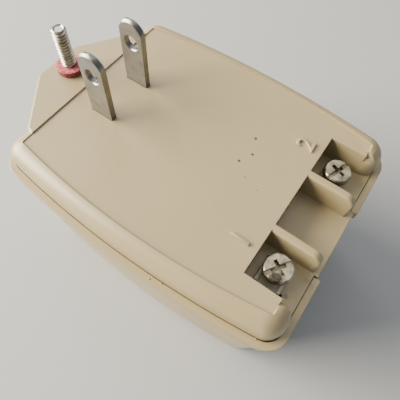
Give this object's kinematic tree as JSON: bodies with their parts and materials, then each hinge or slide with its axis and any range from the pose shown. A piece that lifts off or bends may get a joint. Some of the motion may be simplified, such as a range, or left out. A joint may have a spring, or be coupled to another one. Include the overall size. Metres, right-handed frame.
{
  "type": "plug-in transformer",
  "caption": "Plug-in mains transformer in a moulded two-part case, with flat plug blades, a captive mounting screw in an ear and screw terminals in an open bay.",
  "frame": {"origin": "under the middle of the part's bounding box, on the plane of the rear face that it rests on", "axes": "+Z out of the front along the plug blades, +Y from the terminal end towards the mounting ear, +X to the right as seen from the front with the ear up"},
  "size_m": [0.0624, 0.082, 0.0644],
  "materials": {
    "case_plastic": "beige moulded plastic, fine satin",
    "blade_plating": "nickel plated, drawn",
    "screw_plating": "zinc plated",
    "washer_fibre": "red vulcanised fibre",
    "plate_plating": "plated steel",
    "core_iron": "varnished laminations",
    "bobbin_nylon": "natural nylon",
    "winding_wire": "enamelled copper",
    "coil_tape": "yellow film tape",
    "fuse_case": "plain metal can",
    "fuse_sleeving": "glass-fibre sleeving",
    "primary_insulation": "black insulation",
    "secondary_insulation": "yellow insulation"
  },
  "bodies": {
    "case": {"front_cover": "case_plastic", "rear_housing": "case_plastic", "blade_left": "blade_plating", "blade_right": "blade_plating", "terminal_plate_left": "plate_plating", "terminal_plate_right": "plate_plating", "core_e_stack": "core_iron", "core_i_stack": "core_iron", "bobbin": "bobbin_nylon", "primary_winding": "winding_wire", "secondary_winding": "winding_wire", "primary_tape": "coil_tape", "secondary_tape": "coil_tape", "thermal_fuse": "fuse_case", "fuse_sleeve": "fuse_sleeving", "primary_lead_left": "primary_insulation", "fuse_lead": "primary_insulation", "primary_lead_right": "primary_insulation", "secondary_lead_left": "secondary_insulation", "secondary_lead_right": "secondary_insulation"},
    "washer": {"retaining_washer": "washer_fibre"},
    "captive_screw": {"mounting_screw": "screw_plating"},
    "left_terminal": {"terminal_screw_left": "screw_plating"},
    "right_terminal": {"terminal_screw_right": "screw_plating"}
  },
  "joints": [
    {"name": "captive_screw_lift", "type": "slide", "parent": "case", "child": "washer", "axis": [0, 0, 1], "range_m": [0, 0.0015]},
    {"name": "captive_screw_turn", "type": "hinge", "parent": "washer", "child": "captive_screw", "pos_m": [-0.0009, 0.036, 0.047], "axis": [0, 0, 1], "continuous": true},
    {"name": "left_terminal_turn", "type": "hinge", "parent": "case", "child": "left_terminal", "pos_m": [-0.01445, -0.032, 0.0435], "axis": [0, 0, 1], "continuous": true},
    {"name": "right_terminal_turn", "type": "hinge", "parent": "case", "child": "right_terminal", "pos_m": [0.01445, -0.032, 0.0423], "axis": [0, 0, 1], "continuous": true}
  ]
}
